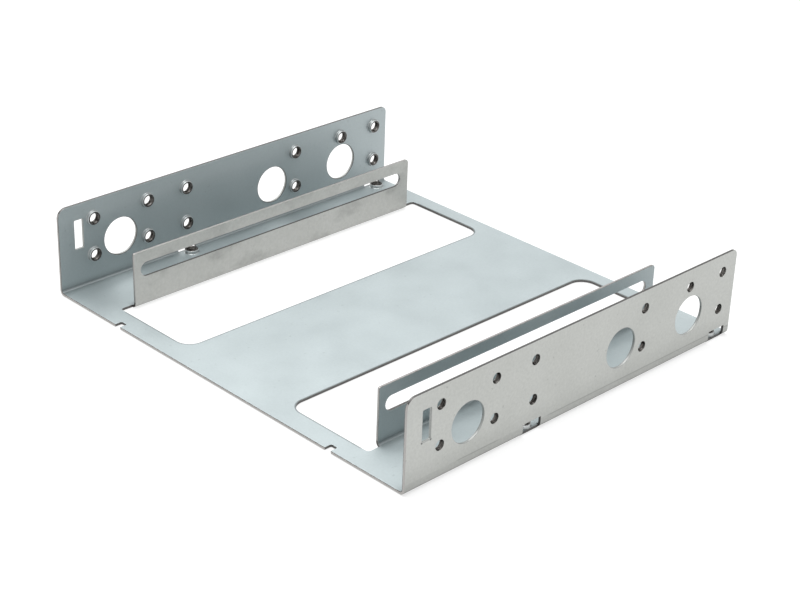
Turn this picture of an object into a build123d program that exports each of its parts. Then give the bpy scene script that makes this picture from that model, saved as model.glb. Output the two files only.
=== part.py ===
from build123d import *
import os

# Drive bay adapter bracket, folded from one sheet, in millimetres.
# X runs across the bay, Y from the front edge to the rear, and Z up from the underside.

# Sheet and bends
sheet = 0.8
inner_bend_radius = 0.8
bay_width = 146.05

# Tapped side holes: three columns near the front, repeated one pitch further back
first_column = 12.15
second_column = 32.1
third_column = 46.9
column_pitch = 79.25
lower_hole_height = 10.0
hole_row_spacing = 11.84

# Outer flanges
rear_margin = 5.85
top_margin = 5.66
front_corner_radius = 3.0
rear_corner_radius = 2.0

# Drawn collars of the tapped holes
bore_diameter = 3.0
collar_diameter = 4.4
collar_height = 1.0
collar_root_flare = 0.2

# Tapped holes in the base, and the windows through the bends beside them
base_hole_inset = 3.175
tab_margin = 0.15
window_length = 6.9
window_height = 3.6

# Driver access holes in the outer flanges
access_diameter = 11.9
access_height = 12.9
first_access = 22.05
second_access = 81.95
third_access = 111.65

# Narrow slot at the front of each outer flange
front_slot_place = 7.1
front_slot_width = 3.1
front_slot_height = 9.3
front_slot_middle = 17.85
front_slot_corner_radius = 0.3

# Inner flanges, which hold the drive between them
drive_width = 101.6
drive_clearance = 0.3
inner_flange_height = 17.7
inner_flange_front_gap = 11.2
inner_flange_rear_gap = 9.8
inner_front_corner_radius = 0.5
inner_rear_corner_radius = 1.2
drive_slot_height = 4.5
drive_slot_middle = 11.75
drive_slot_front_margin = 2.3
drive_slot_rear_margin = 3.5

# Cut-outs left in the base where the inner flanges were lanced up
centre_strip_width = 43.2
front_strip_width = 7.0
rear_strip_width = 5.4
strip_corner_radius = 4.8
relief_corner_radius = 1.0

# Locating notches in the front edge
notch_spacing = 89.7
notch_width = 2.3
notch_depth = 2.4
notch_corner_radius = 0.4

# Sizes that follow from the ones above
outer_bend_radius = inner_bend_radius + sheet
depth = third_column + column_pitch + rear_margin
flange_height = lower_hole_height + hole_row_spacing + top_margin
half_width = bay_width / 2
bend_start = half_width - outer_bend_radius
inner_face = drive_width / 2 + drive_clearance
bend_line = inner_face + outer_bend_radius
inner_flange_length = depth - inner_flange_front_gap - inner_flange_rear_gap
bore_radius = bore_diameter / 2
collar_radius = collar_diameter / 2
base_hole_place = half_width - base_hole_inset
tab_edge = base_hole_place + collar_radius + tab_margin

# Hole columns, measured from the front edge. The second rear column has no lower hole,
# because an access hole takes its place.
front_columns = [first_column, second_column, third_column]
upper_columns = front_columns + [column + column_pitch for column in front_columns]
lower_columns = [column for column in upper_columns if column != second_column + column_pitch]
access_columns = [first_access, second_access, third_access]
base_columns = [third_column, third_column + column_pitch]


def from_front(distance):
    """Y of a point that lies this far behind the front edge."""
    return distance - depth / 2


def front_plane(distance):
    """Upright plane this far behind the front edge, facing forwards, with X across and Z up."""
    return Plane(origin=(0, from_front(distance), 0), x_dir=(1, 0, 0), z_dir=(0, -1, 0))


def fold_profile(plane, points, side):
    """Section of a folded strip: its outside follows the points, and the sheet lies to one side."""
    with BuildSketch(plane) as section:
        with BuildLine():
            outside = FilletPolyline(*points, radius=outer_bend_radius)
            offset(outside, amount=sheet, side=side)
        make_face()
    return section.sketch


def side_hole_planes():
    """A plane on the inner face of an outer flange for each of its tapped holes, facing inwards."""
    planes = []
    upper_hole_height = lower_hole_height + hole_row_spacing
    for side in (-1, 1):
        for columns, height in ((lower_columns, lower_hole_height), (upper_columns, upper_hole_height)):
            for column in columns:
                spot = (side * (half_width - sheet), from_front(column), height)
                planes.append(Plane(origin=spot, x_dir=(0, 1, 0), z_dir=(-side, 0, 0)))
    return planes


def base_hole_planes():
    """A plane on top of the base for each of its tapped holes."""
    planes = []
    for side in (-1, 1):
        for column in base_columns:
            planes.append(Plane((side * base_hole_place, from_front(column), sheet)))
    return planes


# A collar as the punch draws it out of the sheet, flared where it leaves the sheet
with BuildPart() as drawn_collar:
    with BuildSketch(Plane.XZ):
        with BuildLine():
            foot = collar_radius + collar_root_flare
            rim = (collar_radius, collar_height)
            outside = Polyline((foot, 0), (collar_radius, collar_root_flare), rim)
            Polyline(rim, (0, collar_height), (0, -sheet / 2), (foot, -sheet / 2), outside @ 0)
        make_face()
    revolve(axis=Axis.Z)

# The bore through sheet and collar, longer than both at each end
with BuildPart() as collar_bore:
    with BuildSketch(Plane.XY.offset(-2 * sheet)):
        Circle(bore_radius)
    extrude(amount=3 * sheet + collar_height)

with BuildPart() as adapter_bracket:
    # Base and outer flanges, folded up at both sides
    left_top = (-half_width, flange_height)
    right_top = (half_width, flange_height)
    channel_points = [left_top, (-half_width, 0), (half_width, 0), right_top]
    extrude(fold_profile(front_plane(0), channel_points, Side.LEFT), amount=-depth)
    outer_corners = edges().filter_by(Axis.X).group_by(Axis.Z)[-1]
    fillet(outer_corners.group_by(Axis.Y)[0], front_corner_radius)
    rear_corners = edges().filter_by(Axis.X).group_by(Axis.Z)[-1].group_by(Axis.Y)[-1]
    fillet(rear_corners, rear_corner_radius)

    for side in (-1, 1):
        # Cut-out beside the centre strip, as far as the bend line of the inner flange
        cut_width = bend_line - centre_strip_width / 2
        cut_length = depth - front_strip_width - rear_strip_width
        cut_middle = from_front(front_strip_width + cut_length / 2)
        with BuildSketch(Plane((side * (bend_line - cut_width / 2), cut_middle, 0))) as cut_out:
            Rectangle(cut_width, cut_length)
            strip_corners = cut_out.vertices().group_by(Axis.X)[0 if side > 0 else -1]
            fillet(strip_corners, strip_corner_radius)
            bend_corners = cut_out.vertices().group_by(Axis.X)[-1 if side > 0 else 0]
            fillet(bend_corners, relief_corner_radius)
        extrude(amount=sheet, both=True, mode=Mode.SUBTRACT)

        # Inner flange, lanced out of the cut-out and bent up along its edge
        strip_point = (side * (bend_line + sheet), 0)
        top_point = (side * inner_face, inner_flange_height)
        inner_points = [strip_point, (side * inner_face, 0), top_point]
        sheet_side = Side.RIGHT if side > 0 else Side.LEFT
        inner_section = fold_profile(front_plane(inner_flange_front_gap), inner_points, sheet_side)
        extrude(inner_section, amount=-inner_flange_length)

    # Top corners of the inner flanges, tighter at the front
    below_top = inner_flange_height - sheet / 2
    inner_corners = edges().filter_by(Axis.X).filter_by_position(Axis.Z, below_top, below_top + sheet)
    inner_rear_corners = inner_corners.group_by(Axis.Y)[-1]
    fillet(inner_corners.group_by(Axis.Y)[0], inner_front_corner_radius)
    fillet(inner_rear_corners, inner_rear_corner_radius)

    # Long slots in the inner flanges
    slot_front = inner_flange_front_gap + drive_slot_front_margin
    slot_rear = depth - inner_flange_rear_gap - drive_slot_rear_margin
    with BuildSketch(Plane.YZ):
        with Locations((from_front((slot_front + slot_rear) / 2), drive_slot_middle)):
            SlotOverall(slot_rear - slot_front, drive_slot_height)
    extrude(amount=bend_line, both=True, mode=Mode.SUBTRACT)

    for side in (-1, 1):
        # Driver access holes and the narrow front slot in the outer flange
        with BuildSketch(Plane.YZ.offset(side * half_width)):
            access_places = [(from_front(place), access_height) for place in access_columns]
            with Locations(*access_places):
                Circle(access_diameter / 2)
            with Locations((from_front(front_slot_place), front_slot_middle)):
                RectangleRounded(front_slot_width, front_slot_height, front_slot_corner_radius)
        extrude(amount=2 * sheet, both=True, mode=Mode.SUBTRACT)

        for column in base_columns:
            # Window in the flange and its bend, above the base
            with BuildSketch(Plane((side * (bend_start + half_width) / 2, from_front(column), sheet))):
                Rectangle(half_width - bend_start, window_length)
            extrude(amount=window_height - sheet, mode=Mode.SUBTRACT)

            # Tab where the base stays flat under the window, for the collar of its tapped hole
            tab_inside = bend_start - sheet
            with BuildSketch(Plane((side * (tab_inside + tab_edge) / 2, from_front(column), 0))):
                Rectangle(tab_edge - tab_inside, window_length)
            extrude(amount=sheet)

    # Locating notches in the front edge
    with BuildSketch(Plane.XY):
        with Locations((-notch_spacing / 2, from_front(0)), (notch_spacing / 2, from_front(0))):
            RectangleRounded(notch_width, 2 * notch_depth, notch_corner_radius)
    extrude(amount=sheet, mode=Mode.SUBTRACT)

    # Tapped holes, drawn inwards through the outer flanges and upwards through the base
    tapped_holes = side_hole_planes() + base_hole_planes()
    with Locations(*tapped_holes):
        add(drawn_collar.part)

    # Each tab ends just outside its collar, and the flared root is cut off with it
    for side in (-1, 1):
        with BuildSketch(Plane.YZ.offset(side * tab_edge)):
            window_places = [(from_front(column), 0) for column in base_columns]
            with Locations(*window_places):
                Rectangle(window_length, 2 * window_height)
        extrude(amount=side * base_hole_inset, mode=Mode.SUBTRACT)

    # Bores of the tapped holes
    with Locations(*tapped_holes):
        add(collar_bore.part, mode=Mode.SUBTRACT)

adapter_bracket.part.label = "adapter_bracket"
os.makedirs("parts", exist_ok=True)
export_step(adapter_bracket.part, "parts/adapter_bracket.step")
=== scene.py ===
import math
import bmesh
import bpy
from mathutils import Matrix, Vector


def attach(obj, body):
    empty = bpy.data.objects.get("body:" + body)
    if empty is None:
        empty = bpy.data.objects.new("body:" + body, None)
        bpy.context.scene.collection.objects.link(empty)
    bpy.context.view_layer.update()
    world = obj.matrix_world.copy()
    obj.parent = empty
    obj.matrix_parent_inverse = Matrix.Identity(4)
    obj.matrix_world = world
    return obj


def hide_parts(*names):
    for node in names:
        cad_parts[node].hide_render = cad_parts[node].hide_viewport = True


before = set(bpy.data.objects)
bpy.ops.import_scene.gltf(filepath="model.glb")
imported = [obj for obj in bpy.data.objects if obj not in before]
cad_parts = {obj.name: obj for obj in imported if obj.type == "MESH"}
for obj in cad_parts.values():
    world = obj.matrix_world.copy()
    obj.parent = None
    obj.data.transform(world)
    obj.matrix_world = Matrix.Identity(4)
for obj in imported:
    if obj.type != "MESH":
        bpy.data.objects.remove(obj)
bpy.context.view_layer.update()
mm = 0.001

# Where the camera stood for the photograph, in metres and degrees about X, Y and Z
camera = {
    "place": (0.34760, -0.34539, 0.25382),
    "turn": (63.032, -1.838, 45.833),
    "lens": 84.31,
    "sensor": 36.0,
    "clip": (0.01, 10.0),
}


def makeCamera():
    data = bpy.data.cameras.new("camera")
    data.sensor_fit = "HORIZONTAL"
    data.sensor_width = camera["sensor"]
    data.lens = camera["lens"]
    data.clip_start, data.clip_end = camera["clip"]
    body = bpy.data.objects.new("camera", data)
    body.location = camera["place"]
    body.rotation_euler = [math.radians(angle) for angle in camera["turn"]]
    bpy.context.scene.collection.objects.link(body)
    bpy.context.scene.camera = body


# The folded sheet, in millimetres as in the part's source
sheet = {
    "thickness": 0.8,
    "innerBend": 0.8,
    "halfWidth": 73.025,
    "halfDepth": 66.0,
    "innerFace": 51.1,
    "mergeDistance": 0.002,
    "cutDistance": 0.0001,             # points this close to a cut are on it
    "slack": 0.01,                     # points this close to a face are on it
    "ringSlack": 0.03,                 # the same for points on a circle
    "flatAngle": 1.0,                  # degrees, facets flatter than this are one face
    "foldAngle": 30.0,                 # degrees, a turn sharper than this ends a rolled face
    "smoothAngle": 50.0,               # degrees, edges sharper than this look sharp
    "sharpAngle": 60.0,                # degrees, edges sharper than this get broken
    "facing": 0.99,                    # a face that looks this much one way is flat on it
    "frontFacing": 0.7,                # and this much forwards is a front edge
    "rolledFacing": 0.3,               # or, close to the front, its rolled rim
    "acrossCuts": (37.15, 69.85),      # through the cut-outs and the base holes
    "heightCuts": (1.9, 10.0, 12.9, 21.84),    # above the fold, and through the flanges' holes
    "tipHeight": 1.15,                 # edges at a window's ends stay sharp below this
    "tipReach": 0.1,
    "tabTop": 2.0,
    "tabRoom": 71.8,
    "innerTop": 17.7,
    "innerTopBand": 0.5,               # cut edges this far under the top are pale
    "frontBand": 0.4,                  # and this far behind the front edge
    "accessPlaces": (22.05, 81.95, 111.65),
    "accessHeight": 12.9,
    "accessRadius": 5.95,
    "accessRound": 0.2,                # rim of the access holes on the inside
    "accessRim": 0.18,                 # as deep as the rim's dark colour goes, which is a painted dark reflection
    "accessBand": 0.3,
    "slotPlace": (7.1, 17.85),         # narrow front slot, from the front edge and up
    "slotHalf": (1.55, 4.65),
    "wallReach": 0.1,                  # walls are looked for this far past their place
    "frontRound": 0.16,                # the base's front edge, rolled over by the shear
    "frontSteps": 3,
    "frontReach": 0.2,
    "edgeBreak": 0.08,
    "edgeSteps": 2,
}

# Tapped holes with their drawn collars, in millimetres
tapped = {
    "columns": (12.15, 32.1, 46.9, 91.4, 111.35, 126.15),
    "heights": (10.0, 21.84),
    "missing": (111.35, 10.0),         # an access hole takes this one's place
    "baseColumns": (46.9, 126.15),
    "baseSide": 69.85,
    "windowHalf": 3.45,                # half the length of the window beside a base hole
    "bore": 1.5,
    "collar": 2.2,
    "collarHeight": 1.0,
    "flare": 0.2,
    "mouthRound": 0.26,
    "mouthSteps": 3,
    "flareRound": 0.1,
    "flareSteps": 2,
    "rimRound": 0.14,
    "rimSteps": 2,
    "leadIn": 0.3,                     # where the tap opens the rim
    "leadSteps": 3,
    "ringReach": 4.0,                  # rings are looked for this near a hole's centre
    "coatReach": 3.2,
    "coatBand": 0.3,
    "collarReach": 3.0,
    "boreReach": 2.2,
    "overSheet": 0.02,                 # a face higher than this is on the collar
}

# Thread in the bores, in millimetres
thread = {
    "pitch": 0.794,
    "depth": 0.25,
    "rows": 20,
    "runOut": 0.2,        # at each end, where the thread fades
    "boreSlack": 0.02,
    "wallLength": 0.5,    # the bore's long edges are longer than this
    "wallFacing": 0.1,    # its faces look less than this along the axis
    "edgeAlong": 0.9,     # and its long edges run more than this along it
}

# The finishes' places in the bracket's list of materials
coats = {"inside": 0, "outside": 1, "cut": 2, "collar": 3, "bore": 4, "pale": 5, "punched": 6}


def tappedHoles():
    # centre on the sheet's inside face, and the way the collar points
    holes = []
    for side in (-1, 1):
        inside = side * (sheet["halfWidth"] - sheet["thickness"])
        for column in tapped["columns"]:
            for height in tapped["heights"]:
                if (column, height) != tapped["missing"]:
                    spot = Vector((inside, column - sheet["halfDepth"], height)) * mm
                    holes.append((spot, Vector((-side, 0, 0))))
        for column in tapped["baseColumns"]:
            spot = Vector((side * tapped["baseSide"], column - sheet["halfDepth"], sheet["thickness"])) * mm
            holes.append((spot, Vector((0, 0, 1))))
    return holes


def alongAndOut(point, hole):
    # millimetres along a hole's axis from the sheet's inside face, and out from the axis
    spot, way = hole
    reach = point - spot
    along = reach.dot(way)
    return along / mm, (reach - along * way).length / mm


def splitFlats(bm):
    # cuts through the middle of the holes, so that no flat face has a hole inside it
    cuts = [(side * across, 0) for side in (-1, 1) for across in sheet["acrossCuts"]]
    cuts += [(0, height) for height in sheet["heightCuts"]]
    for across, height in cuts:
        way = (0, 0, 1) if height else (1, 0, 0)
        whole = bm.verts[:] + bm.edges[:] + bm.faces[:]
        made = bmesh.ops.bisect_plane(bm, geom=whole, dist=sheet["cutDistance"] * mm,
                                      plane_co=Vector((across, 0, height)) * mm, plane_no=way)
        for item in made["geom_cut"]:
            if isinstance(item, bmesh.types.BMEdge):
                item.seam = True


def wholeFlats(node):
    # the CAD node's loose triangles merged, and each flat stretch made one face
    bm = bmesh.new()
    bm.from_mesh(node.data)
    bmesh.ops.remove_doubles(bm, verts=bm.verts, dist=sheet["mergeDistance"] * mm)
    splitFlats(bm)
    bmesh.ops.dissolve_limit(bm, angle_limit=math.radians(sheet["flatAngle"]), verts=bm.verts,
                             edges=bm.edges, delimit={"SEAM"})
    bm.normal_update()
    return bm


def nearHole(bm, hole, radius, kind):
    # corners or faces within this many millimetres of a hole's centre
    items = bm.verts if kind == "verts" else bm.faces
    close = []
    for item in items:
        point = item.co if kind == "verts" else item.calc_center_median()
        if (point - hole[0]).length < radius * mm:
            close.append(item)
    return close


def ringEdges(bm, holes, radius, height):
    # edges that run round a hole's axis at this radius and height
    slack = sheet["ringSlack"]
    edges = []
    for hole in holes:
        ring = set()
        for vert in nearHole(bm, hole, tapped["ringReach"], "verts"):
            along, out = alongAndOut(vert.co, hole)
            if abs(along - height) < slack and abs(out - radius) < slack:
                ring.add(vert)
        edges += {edge for vert in ring for edge in vert.link_edges if edge.other_vert(vert) in ring}
    return edges


def nearTabEdge(edge):
    # where the tab under a base collar cuts the collar's foot off
    high = max(vert.co.z for vert in edge.verts)
    far = max(abs(vert.co.x) for vert in edge.verts)
    return high < sheet["tabTop"] * mm and far > sheet["tabRoom"] * mm


def rollBevel(bm, edges, width, steps):
    bmesh.ops.bevel(bm, geom=edges, offset=width * mm, offset_type="OFFSET", segments=steps,
                    profile=0.5, affect="EDGES", clamp_overlap=False, material=-1)


def sharpEdges(bm):
    # outward edges of the sheet, apart from the thin tips where a tab leaves the bend
    limit = math.radians(sheet["sharpAngle"])
    bendStart = (sheet["halfWidth"] - sheet["thickness"] - sheet["innerBend"]) * mm
    ends = [column - sheet["halfDepth"] + step for column in tapped["baseColumns"]
            for step in (-tapped["windowHalf"], tapped["windowHalf"])]
    edges = []
    for edge in bm.edges:
        if not edge.is_manifold or not edge.is_convex or edge.calc_face_angle() < limit:
            continue
        middle = (edge.verts[0].co + edge.verts[1].co) / 2
        low = abs(middle.x) > bendStart - sheet["slack"] * mm and middle.z < sheet["tipHeight"] * mm
        if low and any(abs(middle.y / mm - end) < sheet["tipReach"] for end in ends):
            continue
        edges.append(edge)
    return edges


def spreadFrom(seeds, index):
    # the whole side of the sheet, round its folds, as far as the cut edges
    limit = math.radians(sheet["foldAngle"])
    waiting = list(seeds)
    seen = set(seeds)
    while waiting:
        face = waiting.pop()
        face.material_index = index
        for edge in face.edges:
            if edge.is_manifold and edge.calc_face_angle() < limit:
                for other in edge.link_faces:
                    if other not in seen:
                        seen.add(other)
                        waiting.append(other)


def coatSides(bm):
    # both sides of the sheet get their coat, and what lies between them is a cut edge
    for face in bm.faces:
        face.material_index = coats["cut"]
    slack = sheet["slack"] * mm
    level = [face for face in bm.faces if abs(face.normal.z) > sheet["facing"]]
    top = [face for face in level if abs(face.calc_center_median().z - sheet["thickness"] * mm) < slack]
    under = [face for face in level if face.calc_center_median().z < slack]
    spreadFrom(top, coats["inside"])
    spreadFrom(under, coats["outside"])


def outFromAccess(point):
    # millimetres from the nearest access hole's axis
    behind, height = point.y / mm + sheet["halfDepth"], point.z / mm
    return min(math.hypot(behind - place, height - sheet["accessHeight"]) for place in sheet["accessPlaces"])


def accessRims(bm):
    # the circles of the access holes on the inside
    inside = (sheet["halfWidth"] - sheet["thickness"]) * mm
    slack, ringSlack = sheet["slack"] * mm, sheet["ringSlack"]
    return [edge for edge in bm.edges
            if all(abs(abs(vert.co.x) - inside) < slack and
                   abs(outFromAccess(vert.co) - sheet["accessRadius"]) < ringSlack for vert in edge.verts)]


def frontEdges(bm):
    # top edge of the base at the front, which the shear rolled over
    front, level = -sheet["halfDepth"] * mm, sheet["thickness"] * mm
    flat = (sheet["halfWidth"] - sheet["thickness"] - sheet["innerBend"]) * mm
    slack = sheet["slack"] * mm
    return [edge for edge in bm.edges
            if all(abs(vert.co.y - front) < slack and abs(vert.co.z - level) < slack and
                   abs(vert.co.x) < flat + slack for vert in edge.verts)]


def inFrontSlot(spot):
    place, half, reach = sheet["slotPlace"], sheet["slotHalf"], sheet["wallReach"]
    return (abs(spot.y + sheet["halfDepth"] - place[0]) < half[0] + reach and
            abs(spot.z - place[1]) < half[1] + reach)


def coatEdges(bm):
    # the walls of the access holes and front slots, and the paler cut edges
    inside = sheet["halfWidth"] - sheet["thickness"]
    for face in bm.faces:
        spot = face.calc_center_median() / mm
        across, behind = abs(spot.x), spot.y + sheet["halfDepth"]
        wall = across > inside - sheet["wallReach"] and abs(face.normal.x) < sheet["facing"]
        rolled = behind < sheet["frontReach"] and face.normal.y < -sheet["rolledFacing"]
        if wall and inFrontSlot(spot):
            face.material_index = coats["punched"]
        elif wall and outFromAccess(spot * mm) < sheet["accessRadius"] + sheet["accessBand"]:
            # the rolled rim on the inside takes the dark cut-edge colour, as a painted dark reflection
            rim = across < inside + sheet["accessRim"]
            face.material_index = coats["cut" if rim else "punched"]
        elif face.material_index == coats["cut"] or rolled:
            inner = across < sheet["innerFace"] + 2 * sheet["thickness"] and spot.z > sheet["tipHeight"]
            top = spot.z > sheet["innerTop"] - sheet["innerTopBand"] or face.normal.y < -sheet["frontFacing"]
            if (inner and top) or behind < sheet["frontBand"]:
                face.material_index = coats["pale"]


def coatCollars(bm, holes):
    # the mouth has the outside's coat, and the bore and rim are bare
    for hole in holes:
        for face in nearHole(bm, hole, tapped["coatReach"], "faces"):
            along, out = alongAndOut(face.calc_center_median(), hole)
            if out > tapped["collar"] + tapped["flare"] + tapped["coatBand"] or len(face.verts) > 4:
                continue
            if along < -sheet["thickness"] + tapped["mouthRound"] / 2:
                face.material_index = coats["outside"]
            elif out < tapped["collar"] - tapped["rimRound"]:
                face.material_index = coats["bore"]
            elif along > tapped["overSheet"]:
                face.material_index = coats["collar"]


def cutThread(bm, holes):
    # the bore's wall becomes rows of small faces, pushed out along a helix
    rise = tapped["collarHeight"] - tapped["leadIn"]
    fall = -sheet["thickness"] + tapped["mouthRound"]
    for hole in holes:
        long = set()
        for face in nearHole(bm, hole, tapped["boreReach"], "faces"):
            along, out = alongAndOut(face.calc_center_median(), hole)
            if out < tapped["bore"] + sheet["slack"] and abs(face.normal.dot(hole[1])) < thread["wallFacing"]:
                for edge in face.edges:
                    way = (edge.verts[0].co - edge.verts[1].co).normalized()
                    straight = abs(way.dot(hole[1])) > thread["edgeAlong"]
                    if straight and edge.calc_length() > thread["wallLength"] * mm:
                        long.add(edge)
        bmesh.ops.subdivide_edges(bm, edges=list(long), cuts=thread["rows"], use_grid_fill=True)
        across = hole[1].orthogonal().normalized()
        up = hole[1].cross(across)
        for vert in nearHole(bm, hole, tapped["boreReach"], "verts"):
            along, out = alongAndOut(vert.co, hole)
            if abs(out - tapped["bore"]) > thread["boreSlack"] or not fall < along < rise:
                continue
            reach = vert.co - hole[0]
            turn = math.atan2(reach.dot(up), reach.dot(across)) / math.tau
            phase = (along / thread["pitch"] - turn) % 1.0
            groove = 1.0 - abs(2.0 * phase - 1.0)
            fade = min(1.0, (rise - along) / thread["runOut"], (along - fall) / thread["runOut"])
            radial = (reach - reach.dot(hole[1]) * hole[1]).normalized()
            vert.co += radial * groove * fade * thread["depth"] * mm


def sheetDepth(point):
    # 0 on the sheet's inside face and 1 on its outside face
    x, z = abs(point.x) / mm, point.z / mm
    bend = sheet["innerBend"] + sheet["thickness"]
    outerBend = sheet["halfWidth"] - bend
    innerBend = sheet["innerFace"] + bend
    if x > outerBend:
        depth = x - (outerBend + sheet["innerBend"])
        if z < bend:
            depth = math.hypot(x - outerBend, z - bend) - sheet["innerBend"]
    elif sheet["innerFace"] - sheet["wallReach"] < x < innerBend:
        depth = innerBend - sheet["innerBend"] - x
        if z < bend:
            depth = math.hypot(x - innerBend, z - bend) - sheet["innerBend"]
    else:
        depth = sheet["thickness"] - z
    return min(1.0, max(0.0, depth / sheet["thickness"]))


def roundCollars(bm, holes):
    # mouths, feet and rims of the collars
    bore, collar, height = tapped["bore"], tapped["collar"], tapped["collarHeight"]
    flare, flareRound, flareSteps = tapped["flare"], tapped["flareRound"], tapped["flareSteps"]
    rollBevel(bm, ringEdges(bm, holes, bore, -sheet["thickness"]), tapped["mouthRound"], tapped["mouthSteps"])
    feet = [edge for edge in ringEdges(bm, holes, collar + flare, 0.0) if not nearTabEdge(edge)]
    rollBevel(bm, feet, flareRound, flareSteps)
    rollBevel(bm, ringEdges(bm, holes, collar, flare), flareRound, flareSteps)
    rollBevel(bm, ringEdges(bm, holes, collar, height), tapped["rimRound"], tapped["rimSteps"])
    rollBevel(bm, ringEdges(bm, holes, bore, height), tapped["leadIn"], tapped["leadSteps"])


def markDepth(bm, holes):
    # for the finishes: how deep a point lies in the sheet, or how high on a collar
    layer = bm.verts.layers.float.new("depth")
    for vert in bm.verts:
        vert[layer] = sheetDepth(vert.co)
    for hole in holes:
        for vert in nearHole(bm, hole, tapped["collarReach"], "verts"):
            along = alongAndOut(vert.co, hole)[0]
            if along > sheet["slack"]:
                vert[layer] = along / tapped["collarHeight"]


def smoothSheet(bm):
    # smooth faces, with hard lines where the sheet turns sharply
    for face in bm.faces:
        face.smooth = True
    bm.normal_update()
    limit = math.radians(sheet["smoothAngle"])
    for edge in bm.edges:
        edge.smooth = not (edge.is_manifold and edge.calc_face_angle() > limit)


def makeSheet(node, finishes):
    bm = wholeFlats(node)
    coatSides(bm)
    holes = tappedHoles()
    roundCollars(bm, holes)
    print("collars rounded", len(bm.verts))
    rollBevel(bm, accessRims(bm), sheet["accessRound"], sheet["edgeSteps"])
    rollBevel(bm, frontEdges(bm), sheet["frontRound"], sheet["frontSteps"])
    rollBevel(bm, sharpEdges(bm), sheet["edgeBreak"], sheet["edgeSteps"])
    print("edges broken", len(bm.verts))
    coatEdges(bm)
    coatCollars(bm, holes)
    cutThread(bm, holes)
    print("threads cut", len(bm.verts))
    markDepth(bm, holes)
    smoothSheet(bm)
    mesh = bpy.data.meshes.new("bracketSheet")
    bm.to_mesh(mesh)
    bm.free()
    for finish in finishes:
        mesh.materials.append(finish)
    piece = bpy.data.objects.new("bracketSheet", mesh)
    bpy.context.scene.collection.objects.link(piece)
    weigh = piece.modifiers.new("weigh", "WEIGHTED_NORMAL")
    weigh.keep_sharp = True
    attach(piece, "root")
    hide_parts("adapter_bracket")


# What all the finishes share
metal = {
    "cloudDetail": 4.0,
    "grainDetail": 3.0,
    "speckDetail": 2.5,
    "noiseSpan": (0.3, 0.7),           # where most of a noise lies
    "speckSpan": (0.70, 0.76),         # where a noise turns into a speck
    "ragged": 0.08,
    "bumpHeight": 0.02,                # mm
}


def newMaterial(name):
    material = bpy.data.materials.new(name)
    material.use_nodes = True
    tree = material.node_tree
    tree.nodes.clear()
    out = tree.nodes.new("ShaderNodeOutputMaterial")
    return material, tree, out


def noiseOf(tree, coords, scale, detail, stretch=(1, 1, 1)):
    place = tree.nodes.new("ShaderNodeMapping")
    place.inputs["Scale"].default_value = stretch
    tree.links.new(coords, place.inputs["Vector"])
    noise = tree.nodes.new("ShaderNodeTexNoise")
    noise.inputs["Scale"].default_value = scale
    noise.inputs["Detail"].default_value = detail
    tree.links.new(place.outputs["Vector"], noise.inputs["Vector"])
    return noise.outputs["Fac"]


def spread(tree, value, span, first, last):
    # goes from first to last while the value goes over the span
    change = tree.nodes.new("ShaderNodeMapRange")
    change.inputs["From Min"].default_value = span[0]
    change.inputs["From Max"].default_value = span[1]
    change.inputs["To Min"].default_value = first
    change.inputs["To Max"].default_value = last
    tree.links.new(value, change.inputs["Value"])
    return change.outputs["Result"]


def spreadMm(tree, value, span, first, last):
    # the same, with the span in millimetres
    return spread(tree, value, (span[0] * mm, span[1] * mm), first, last)


def mathOf(tree, kind, first, second=0.0):
    step = tree.nodes.new("ShaderNodeMath")
    step.operation = kind
    for socket, value in zip(step.inputs, (first, second)):
        if isinstance(value, float):
            socket.default_value = value
        else:
            tree.links.new(value, socket)
    return step.outputs[0]


def times(tree, first, second):
    return mathOf(tree, "MULTIPLY", first, second)


def plus(tree, first, second):
    return mathOf(tree, "ADD", first, second)


def minus(tree, first, second):
    return mathOf(tree, "SUBTRACT", first, second)


def awayFrom(tree, value, place):
    # how far a value is from a place in millimetres
    return mathOf(tree, "ABSOLUTE", minus(tree, value, place * mm))


def inRun(tree, along, start, end, fade):
    # 1 between two places along the bracket, and 0 outside them
    rise = spreadMm(tree, along, (start, start + fade), 0.0, 1.0)
    fall = spreadMm(tree, along, (end - fade, end), 1.0, 0.0)
    return times(tree, rise, fall)


def foldPaintedShade(tree, across, along, height, look):
    # painted shade: a little darker in the two folds on each side, most of all in the fold itself, where it
    # also dims the fold's highlight
    shade = None
    reach, foot = look["creaseReach"], sheet["thickness"]
    for place, start, end in look["creases"]:
        away = awayFrom(tree, across, place)
        near = spreadMm(tree, away, (0.0, reach), 1.0, 0.0)
        low = spreadMm(tree, height, (foot, foot + reach), 1.0, 0.0)
        soft = mathOf(tree, "POWER", times(tree, near, low), look["creasePower"])
        soft = times(tree, soft, look["creaseDepth"])
        close = spreadMm(tree, away, look["foldWidth"], look["foldDepth"], 0.0)
        down = spreadMm(tree, height, look["foldTop"], 1.0, 0.0)
        both = plus(tree, soft, times(tree, down, close))
        both = times(tree, both, inRun(tree, along, start, end, look["creaseFade"]))
        dark = minus(tree, 1.0, both)
        shade = dark if shade is None else times(tree, shade, dark)
    return shade


def rimShade(tree, across, along, look):
    # a thin dark line on top of the base, round the cut-outs and almost up to the inner flanges
    inward = minus(tree, look["rimSide"] * mm, across)
    onward = minus(tree, awayFrom(tree, along, look["rimMiddle"]), look["rimHalf"] * mm)
    corner = tree.nodes.new("ShaderNodeCombineXYZ")
    tree.links.new(mathOf(tree, "MAXIMUM", inward), corner.inputs["X"])
    tree.links.new(mathOf(tree, "MAXIMUM", onward), corner.inputs["Y"])
    away = tree.nodes.new("ShaderNodeVectorMath")
    away.operation = "LENGTH"
    tree.links.new(corner.outputs["Vector"], away.inputs[0])
    edge, width = look["rimRound"], look["rimWidth"]
    line = spreadMm(tree, away.outputs["Value"], (edge + width / 2, edge + width), look["rimDark"], 0.0)
    return minus(tree, 1.0, times(tree, line, spreadMm(tree, across, look["rimEnd"], 1.0, 0.0)))


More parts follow.
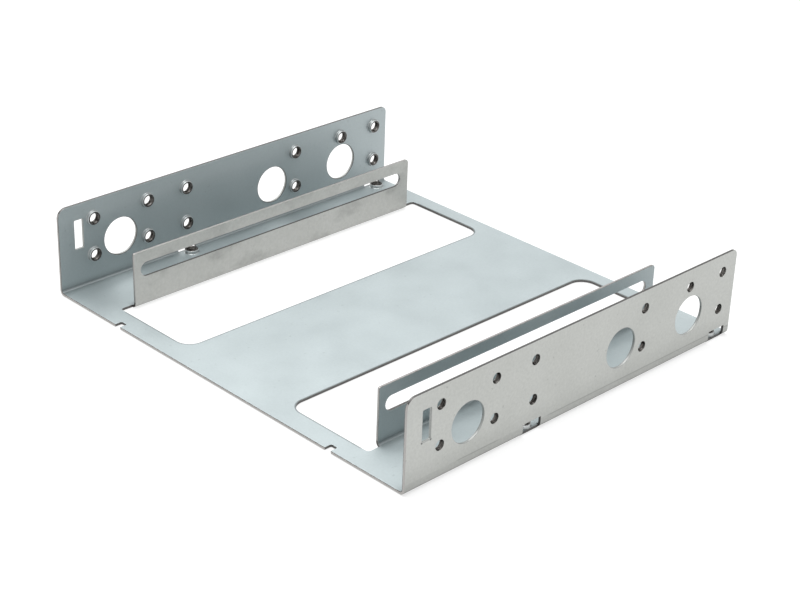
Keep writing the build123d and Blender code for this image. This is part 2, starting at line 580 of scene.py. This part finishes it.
def dieLineAndPaintedShade(tree, across, along, height, look):
    # the die pressed a line along the outer flanges; under it the metal is painted darker down to the fold as
    # painted shade, with a step at the line and most at the fold's foot
    flange = spreadMm(tree, across, look["flangeSide"], 0.0, 1.0)
    line = look["dieHeight"]
    low = spreadMm(tree, height, (0.0, look["dieFade"]), look["lowPaintedShade"], 0.0)
    step = spreadMm(tree, height, (line, line + look["dieStepWidth"]), look["dieStep"], 0.0)
    foot = spreadMm(tree, height, look["footHeight"], look["footDark"], 0.0)
    mark = spreadMm(tree, awayFrom(tree, height, line), look["dieLineWidth"], look["dieLine"], 0.0)
    present = None
    for start, end in look["dieRuns"]:
        run = inRun(tree, along, start, end, look["dieRunFade"])
        present = run if present is None else plus(tree, present, run)
    mark = times(tree, mark, present)
    total = plus(tree, plus(tree, low, step), plus(tree, foot, mark))
    return minus(tree, 1.0, times(tree, flange, total))


def dotShade(tree, coords, look):
    # small dark dots, at points (x, y, z) in millimetres
    shade = None
    for dot in look["dots"]:
        away = tree.nodes.new("ShaderNodeVectorMath")
        away.operation = "DISTANCE"
        tree.links.new(coords, away.inputs[0])
        away.inputs[1].default_value = [value * mm for value in dot]
        dark = spreadMm(tree, away.outputs["Value"], look["dotWidth"], look["dotShade"], 1.0)
        shade = dark if shade is None else times(tree, shade, dark)
    return shade


def smudgesAndPaintedShade(tree, coords, across, look):
    # the inner flanges' faces towards the drive are darker all over as painted shade, with dark smudges
    inner = spreadMm(tree, across, look["innerSide"], 1.0, 0.0)
    cloud = noiseOf(tree, coords, look["smudgeScale"], metal["cloudDetail"], look["smudgeStretch"])
    patch = spread(tree, cloud, look["smudgeSpan"], look["innerPaintedShade"], look["innerPaintedShade"] + look["smudgeDark"])
    return minus(tree, 1.0, times(tree, inner, patch))


def coatColour(tree, cloud, look):
    # from dark to light over the clouds, or through the sheet's thickness with a ragged border
    ramp = tree.nodes.new("ShaderNodeValToRGB")
    for stop, place, colour in zip(ramp.color_ramp.elements, look["bands"], (look["dark"], look["light"])):
        stop.position = place
        stop.color = (*colour, 1)
    if look["byDepth"]:
        depth = tree.nodes.new("ShaderNodeAttribute")
        depth.attribute_name = "depth"
        rag = spread(tree, cloud, metal["noiseSpan"], -metal["ragged"], metal["ragged"])
        cloud = plus(tree, depth.outputs["Fac"], rag)
    tree.links.new(cloud, ramp.inputs["Fac"])
    return ramp.outputs["Color"]


def coatShade(tree, coords, grain, look):
    # the grain, the specks and the marks that this finish has, and the painted shade in the folds, under the
    # die's line and on the inner flanges, as one factor
    shade = spread(tree, grain, metal["noiseSpan"], 1 - look["grain"], 1 + look["grain"])
    speck = noiseOf(tree, coords, look["speckScale"], metal["speckDetail"])
    shade = times(tree, shade, spread(tree, speck, metal["speckSpan"], 1.0, 1 - look["speckDark"]))
    place = tree.nodes.new("ShaderNodeSeparateXYZ")
    tree.links.new(coords, place.inputs["Vector"])
    across = mathOf(tree, "ABSOLUTE", place.outputs["X"])
    along, height = place.outputs["Y"], place.outputs["Z"]
    if "creases" in look:
        shade = times(tree, shade, foldPaintedShade(tree, across, along, height, look))
        shade = times(tree, shade, rimShade(tree, across, along, look))
    if "dieLine" in look:
        shade = times(tree, shade, dieLineAndPaintedShade(tree, across, along, height, look))
        shade = times(tree, shade, smudgesAndPaintedShade(tree, coords, across, look))
        shade = times(tree, shade, dotShade(tree, coords, look))
    return shade


def makeMetal(name, look):
    material, tree, out = newMaterial(name)
    shader = tree.nodes.new("ShaderNodeBsdfPrincipled")
    shader.inputs["Metallic"].default_value = 1.0
    tree.links.new(shader.outputs["BSDF"], out.inputs["Surface"])
    coords = tree.nodes.new("ShaderNodeTexCoord").outputs["Object"]
    cloud = noiseOf(tree, coords, look["cloudScale"], metal["cloudDetail"])
    grain = noiseOf(tree, coords, look["grainScale"], metal["grainDetail"])
    tint = tree.nodes.new("ShaderNodeVectorMath")
    tint.operation = "SCALE"
    tree.links.new(coatColour(tree, cloud, look), tint.inputs[0])
    tree.links.new(coatShade(tree, coords, grain, look), tint.inputs["Scale"])
    tree.links.new(tint.outputs["Vector"], shader.inputs["Base Color"])
    matte = spread(tree, cloud, metal["noiseSpan"], look["smooth"], look["rough"])
    tree.links.new(matte, shader.inputs["Roughness"])
    bump = tree.nodes.new("ShaderNodeBump")
    bump.inputs["Strength"].default_value = look["bump"]
    bump.inputs["Distance"].default_value = metal["bumpHeight"] * mm
    tree.links.new(grain, bump.inputs["Height"])
    tree.links.new(bump.outputs["Normal"], shader.inputs["Normal"])
    return material


# The zinc coat on the sheet's inside, with painted shade in the folds
insideCoat = {
    "dark": (0.412, 0.460, 0.469),
    "light": (0.442, 0.490, 0.499),
    "bands": (0.3, 0.7),
    "byDepth": False,
    "cloudScale": 60.0,
    "grainScale": 1500.0,
    "grain": 0.02,
    "speckScale": 700.0,
    "speckDark": 0.12,
    "smooth": 0.52,
    "rough": 0.60,
    "bump": 0.25,
    "creases": ((52.2, -55.8, 57.2), (71.9, -68.0, 68.0)),     # mm from the middle, and each fold's ends
    "creaseFade": 1.0,     # at a fold's ends, in mm as all the sizes below
    "creaseReach": 3.0,
    "creasePower": 1.5,
    "creaseDepth": 0.31,
    "foldDepth": 0.18,
    "foldWidth": (0.25, 0.6),
    "foldTop": (1.5, 2.0),
    "rimSide": 26.4,       # where the cut-outs' corners turn
    "rimMiddle": 0.8,
    "rimHalf": 55.0,
    "rimRound": 4.8,
    "rimEnd": (49.8, 50.8),
    "rimWidth": 0.5,
    "rimDark": 0.5,
}

# The zinc coat on its outside, with the die's line and the smudges, and painted shade under the die's line
# and on the inner flanges' faces towards the drive
outsideCoat = {
    "dark": (0.47, 0.48, 0.46),
    "light": (0.53, 0.54, 0.52),
    "bands": (0.3, 0.7),
    "byDepth": False,
    "cloudScale": 60.0,
    "grainScale": 1300.0,
    "grain": 0.05,
    "speckScale": 600.0,
    "speckDark": 0.2,
    "smooth": 0.46,
    "rough": 0.54,
    "bump": 0.5,
    "flangeSide": (70.5, 71.0),            # the outer flanges start here, in mm from the middle
    # under the die's line, down to the fold, the darkening is painted shade, most of all at the fold's foot
    "dieHeight": 2.9,
    "dieFade": 8.0,
    "lowPaintedShade": 0.14,
    "dieStep": 0.07,
    "dieStepWidth": 0.2,
    "dieLine": 0.22,
    "dieLineWidth": (0.05, 0.22),
    "dieRuns": ((-48, -31), (-14, 70)),    # where the line shows, in mm along the flange
    "dieRunFade": 2.0,
    "footDark": 0.45,
    "footHeight": (0.3, 1.3),
    "innerSide": (51.6, 52.0),             # the inner flanges' faces end here, in mm from the middle
    # painted shade on the inner flanges' faces towards the drive, all over
    "innerPaintedShade": 0.10,
    "smudgeDark": 0.20,
    "smudgeScale": 130.0,
    "smudgeStretch": (1, 0.6, 1),
    "smudgeSpan": (0.5, 0.68),
    "dots": ((73.0, -60.45, 13.2), (73.0, -57.35, 13.2)),   # at the lower corners of the front slot
    "dotWidth": (0.2, 0.42),
    "dotShade": 0.25,
}

# Sheared edges
cutEdge = {
    "dark": (0.16, 0.157, 0.152),
    "light": (0.105, 0.102, 0.10),
    "bands": (0.2, 0.5),
    "byDepth": True,
    "cloudScale": 700.0,
    "grainScale": 2500.0,
    "grain": 0.15,
    "speckScale": 900.0,
    "speckDark": 0.2,
    "smooth": 0.40,
    "rough": 0.55,
    "bump": 0.6,
}

# Paler edges, with a dark line along the sheet's inside
paleEdge = {
    "dark": (0.10, 0.09, 0.085),
    "light": (0.38, 0.37, 0.36),
    "bands": (0.10, 0.26),
    "byDepth": True,
    "cloudScale": 500.0,
    "grainScale": 2500.0,
    "grain": 0.08,
    "speckScale": 700.0,
    "speckDark": 0.55,
    "smooth": 0.36,
    "rough": 0.48,
    "bump": 0.4,
}

# Access holes, burnished by the punch
punchedWall = {
    "dark": (0.30, 0.31, 0.30),
    "light": (0.38, 0.39, 0.38),
    "bands": (0.3, 0.7),
    "byDepth": False,
    "cloudScale": 500.0,
    "grainScale": 2500.0,
    "grain": 0.05,
    "speckScale": 900.0,
    "speckDark": 0.1,
    "smooth": 0.50,
    "rough": 0.60,
    "bump": 0.2,
}

# Collars, darker at the foot as painted shade and lighter up to the rim, and the bare steel of bores and rims
collarCoat = {
    "dark": (0.33, 0.35, 0.35),
    "light": (0.54, 0.56, 0.56),
    "bands": (0.15, 0.75),
    "byDepth": True,
    "cloudScale": 400.0,
    "grainScale": 2500.0,
    "grain": 0.08,
    "speckScale": 900.0,
    "speckDark": 0.2,
    "smooth": 0.34,
    "rough": 0.46,
    "bump": 0.4,
}
# bare steel painted near-black, which is painted shade in the bores
boreSteelPaintedShade = {
    "dark": (0.05, 0.046, 0.043),
    "light": (0.20, 0.19, 0.18),
    "bands": (0.42, 0.68),
    "byDepth": False,
    "cloudScale": 700.0,
    "grainScale": 2500.0,
    "grain": 0.15,
    "speckScale": 900.0,
    "speckDark": 0.2,
    "smooth": 0.22,
    "rough": 0.36,
    "bump": 0.4,
}

# Floor and light
studio = {
    "floorHalf": 3.0,
    "floorDrop": 0.2,      # mm under the bracket
    "floorGlow": 0.7,
    "floorShade": 0.4,
    "skyDiffuse": 0.4,
    "skySeen": 1.0,
}


def seenDirectly(tree):
    # 1 for camera, glossy and transmission rays
    path = tree.nodes.new("ShaderNodeLightPath")
    either = mathOf(tree, "MAXIMUM", path.outputs["Is Camera Ray"], path.outputs["Is Glossy Ray"])
    return mathOf(tree, "MAXIMUM", either, path.outputs["Is Transmission Ray"])


def makeFloor():
    bm = bmesh.new()
    bmesh.ops.create_grid(bm, x_segments=1, y_segments=1, size=studio["floorHalf"])
    bmesh.ops.translate(bm, verts=bm.verts, vec=(0, 0, -studio["floorDrop"] * mm))
    mesh = bpy.data.meshes.new("floor")
    bm.to_mesh(mesh)
    bm.free()
    floor = bpy.data.objects.new("floor", mesh)
    bpy.context.scene.collection.objects.link(floor)
    material, tree, out = newMaterial("paleFloor")
    shade = studio["floorShade"]
    matte = tree.nodes.new("ShaderNodeBsdfDiffuse")
    matte.inputs["Color"].default_value = (2 * shade, 2 * shade, 2 * shade, 1)
    glow = tree.nodes.new("ShaderNodeEmission")
    glow.inputs["Strength"].default_value = studio["floorGlow"]
    halfMatte = tree.nodes.new("ShaderNodeBsdfDiffuse")
    halfMatte.inputs["Color"].default_value = (shade, shade, shade, 1)
    both = tree.nodes.new("ShaderNodeAddShader")
    tree.links.new(glow.outputs[0], both.inputs[0])
    tree.links.new(halfMatte.outputs[0], both.inputs[1])
    mix = tree.nodes.new("ShaderNodeMixShader")
    tree.links.new(seenDirectly(tree), mix.inputs["Fac"])
    tree.links.new(matte.outputs[0], mix.inputs[1])
    tree.links.new(both.outputs[0], mix.inputs[2])
    tree.links.new(mix.outputs[0], out.inputs["Surface"])
    mesh.materials.append(material)


def makeSky():
    world = bpy.data.worlds.new("studio")
    world.use_nodes = True
    tree = world.node_tree
    back = tree.nodes["Background"]
    back.inputs["Color"].default_value = (1, 1, 1, 1)
    level = spread(tree, seenDirectly(tree), (0.0, 1.0), studio["skyDiffuse"], studio["skySeen"])
    tree.links.new(level, back.inputs["Strength"])
    bpy.context.scene.world = world


# Soft lamps: a square one overhead and one high on the left, in metres and watts
lamps = {
    "overhead": {"place": (0.0, 0.0, 1.2), "size": 0.8, "power": 11.0},
    "left": {"place": (-0.9, 0.0, 0.8), "size": 0.8, "power": 5.0},
}


def makeLamp(name, look):
    data = bpy.data.lights.new(name, "AREA")
    data.shape = "SQUARE"
    data.size = look["size"]
    data.energy = look["power"]
    body = bpy.data.objects.new(name, data)
    body.location = look["place"]
    body.rotation_euler = (-Vector(look["place"])).to_track_quat("-Z", "Y").to_euler()
    bpy.context.scene.collection.objects.link(body)


makeCamera()
print("camera placed")
makeFloor()
makeSky()
for name, look in lamps.items():
    makeLamp(name, look)
print("floor and light made")
# in the order of coats
finishes = [makeMetal("insideCoat", insideCoat), makeMetal("outsideCoat", outsideCoat),
            makeMetal("cutEdge", cutEdge), makeMetal("collarCoat", collarCoat),
            makeMetal("boreSteelPaintedShade", boreSteelPaintedShade), makeMetal("paleEdge", paleEdge),
            makeMetal("punchedWall", punchedWall)]
makeSheet(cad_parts["adapter_bracket"], finishes)
print("bracket made")

bpy.context.scene.view_settings.view_transform = "Standard"
